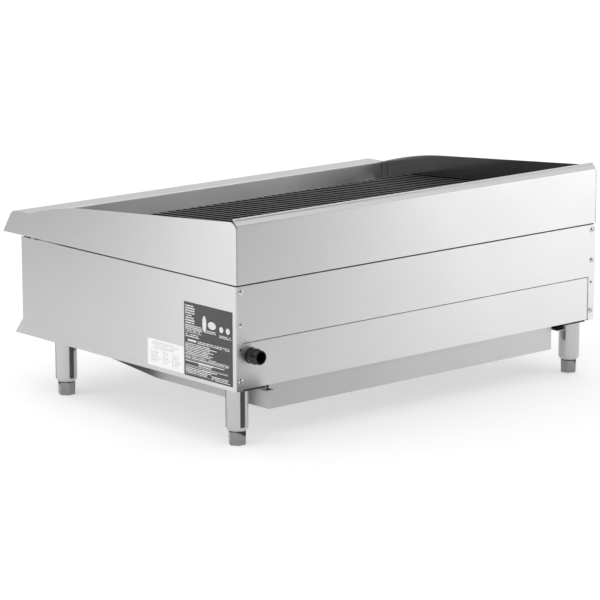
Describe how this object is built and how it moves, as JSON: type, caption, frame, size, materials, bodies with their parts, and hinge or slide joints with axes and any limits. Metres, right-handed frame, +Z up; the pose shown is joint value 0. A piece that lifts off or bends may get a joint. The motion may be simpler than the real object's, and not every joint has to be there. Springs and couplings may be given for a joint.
{
  "type": "countertop gas charbroiler",
  "caption": "Countertop gas charbroiler: sloped cast-iron grates inside a stainless splash guard, over radiants and burners, with a pull-out drip tray and adjustable legs.",
  "frame": {"origin": "on the counter, under the middle of the overall box", "axes": "+X to the operator's right, along the width; -Y towards the operator; +Z up"},
  "size_m": [0.914, 0.717, 0.416],
  "materials": {
    "stainless": "brushed along the panel's length, satin",
    "liner_steel": "mill finish, heat-dulled",
    "cast_iron": "seasoned black cast iron, semi-matte",
    "radiant_iron": "heat-greyed cast iron, matte",
    "burner_iron": "sand-cast, matte",
    "black_pipe": "black malleable iron, satin",
    "black_paint": "black, matte",
    "brass": "machined",
    "knob_plastic": "moulded phenolic, satin",
    "polished_steel": "polished",
    "aluminium_tube": "drawn tube",
    "screw_steel": "bright pan heads",
    "label_dark": "printed film, dark with plain pale rules",
    "label_pale": "printed film, pale with faint rules"
  },
  "bodies": {
    "body": {"side_panel_right": "stainless", "side_panel_left": "stainless", "rear_panel_upper": "stainless", "rear_panel_lower": "stainless", "control_panel": "stainless", "splash_rear": "stainless", "splash_side_right": "stainless", "splash_side_left": "stainless", "front_rail": "stainless", "firebox_side_right": "liner_steel", "firebox_side_left": "liner_steel", "firebox_rear": "liner_steel", "firebox_front": "liner_steel", "grate_rest_front": "liner_steel", "grate_rest_rear": "liner_steel", "radiant_1": "radiant_iron", "radiant_2": "radiant_iron", "radiant_3": "radiant_iron", "radiant_4": "radiant_iron", "radiant_5": "radiant_iron", "radiant_6": "radiant_iron", "burner_1": "burner_iron", "burner_2": "burner_iron", "burner_3": "burner_iron", "gas_manifold": "black_pipe", "feed_pipe": "black_pipe", "inlet_fitting": "black_pipe", "valve_1": "brass", "valve_2": "brass", "valve_3": "brass", "knob_bezels": "polished_steel", "pilot_line": "aluminium_tube", "base_rail_right": "liner_steel", "base_rail_left": "liner_steel", "base_cross_rails": "liner_steel", "tray_runner_right": "liner_steel", "tray_runner_left": "liner_steel", "leg_gussets": "black_paint", "leg_rear_right": "polished_steel", "leg_rear_left": "polished_steel", "leg_front_right": "polished_steel", "leg_front_left": "polished_steel", "panel_screws": "screw_steel", "rating_label": "label_dark", "data_label": "label_pale"},
    "drip_tray": {"drip_tray": "stainless", "tray_handle": "polished_steel"},
    "knob_1": {"knob_1": "knob_plastic"},
    "knob_2": {"knob_2": "knob_plastic"},
    "knob_3": {"knob_3": "knob_plastic"},
    "grate_1": {"grate_1": "cast_iron"},
    "grate_2": {"grate_2": "cast_iron"},
    "grate_3": {"grate_3": "cast_iron"},
    "grate_4": {"grate_4": "cast_iron"},
    "grate_5": {"grate_5": "cast_iron"},
    "grate_6": {"grate_6": "cast_iron"},
    "foot_rear_right": {"foot_rear_right": "polished_steel"},
    "foot_rear_left": {"foot_rear_left": "polished_steel"},
    "foot_front_right": {"foot_front_right": "polished_steel"},
    "foot_front_left": {"foot_front_left": "polished_steel"}
  },
  "joints": [
    {"name": "drip_tray_slide", "type": "slide", "parent": "body", "child": "drip_tray", "axis": [0, -1, 0], "range_m": [0, 0.5]},
    {"name": "knob_1_turn", "type": "hinge", "parent": "body", "child": "knob_1", "pos_m": [-0.26667, -0.3055, 0.205], "axis": [0, -1, 0], "range_deg": [0, 90]},
    {"name": "knob_2_turn", "type": "hinge", "parent": "body", "child": "knob_2", "pos_m": [0, -0.3055, 0.205], "axis": [0, -1, 0], "range_deg": [0, 90]},
    {"name": "knob_3_turn", "type": "hinge", "parent": "body", "child": "knob_3", "pos_m": [0.26667, -0.3055, 0.205], "axis": [0, -1, 0], "range_deg": [0, 90]},
    {"name": "grate_1_lift", "type": "slide", "parent": "body", "child": "grate_1", "axis": [0, 0, 1], "range_m": [0, 0.15]},
    {"name": "grate_2_lift", "type": "slide", "parent": "body", "child": "grate_2", "axis": [0, 0, 1], "range_m": [0, 0.15]},
    {"name": "grate_3_lift", "type": "slide", "parent": "body", "child": "grate_3", "axis": [0, 0, 1], "range_m": [0, 0.15]},
    {"name": "grate_4_lift", "type": "slide", "parent": "body", "child": "grate_4", "axis": [0, 0, 1], "range_m": [0, 0.15]},
    {"name": "grate_5_lift", "type": "slide", "parent": "body", "child": "grate_5", "axis": [0, 0, 1], "range_m": [0, 0.15]},
    {"name": "grate_6_lift", "type": "slide", "parent": "body", "child": "grate_6", "axis": [0, 0, 1], "range_m": [0, 0.15]},
    {"name": "foot_rear_right_adjust", "type": "slide", "parent": "body", "child": "foot_rear_right", "axis": [0, 0, -1], "range_m": [0, 0.02]},
    {"name": "foot_rear_left_adjust", "type": "slide", "parent": "body", "child": "foot_rear_left", "axis": [0, 0, -1], "range_m": [0, 0.02]},
    {"name": "foot_front_right_adjust", "type": "slide", "parent": "body", "child": "foot_front_right", "axis": [0, 0, -1], "range_m": [0, 0.02]},
    {"name": "foot_front_left_adjust", "type": "slide", "parent": "body", "child": "foot_front_left", "axis": [0, 0, -1], "range_m": [0, 0.02]}
  ]
}
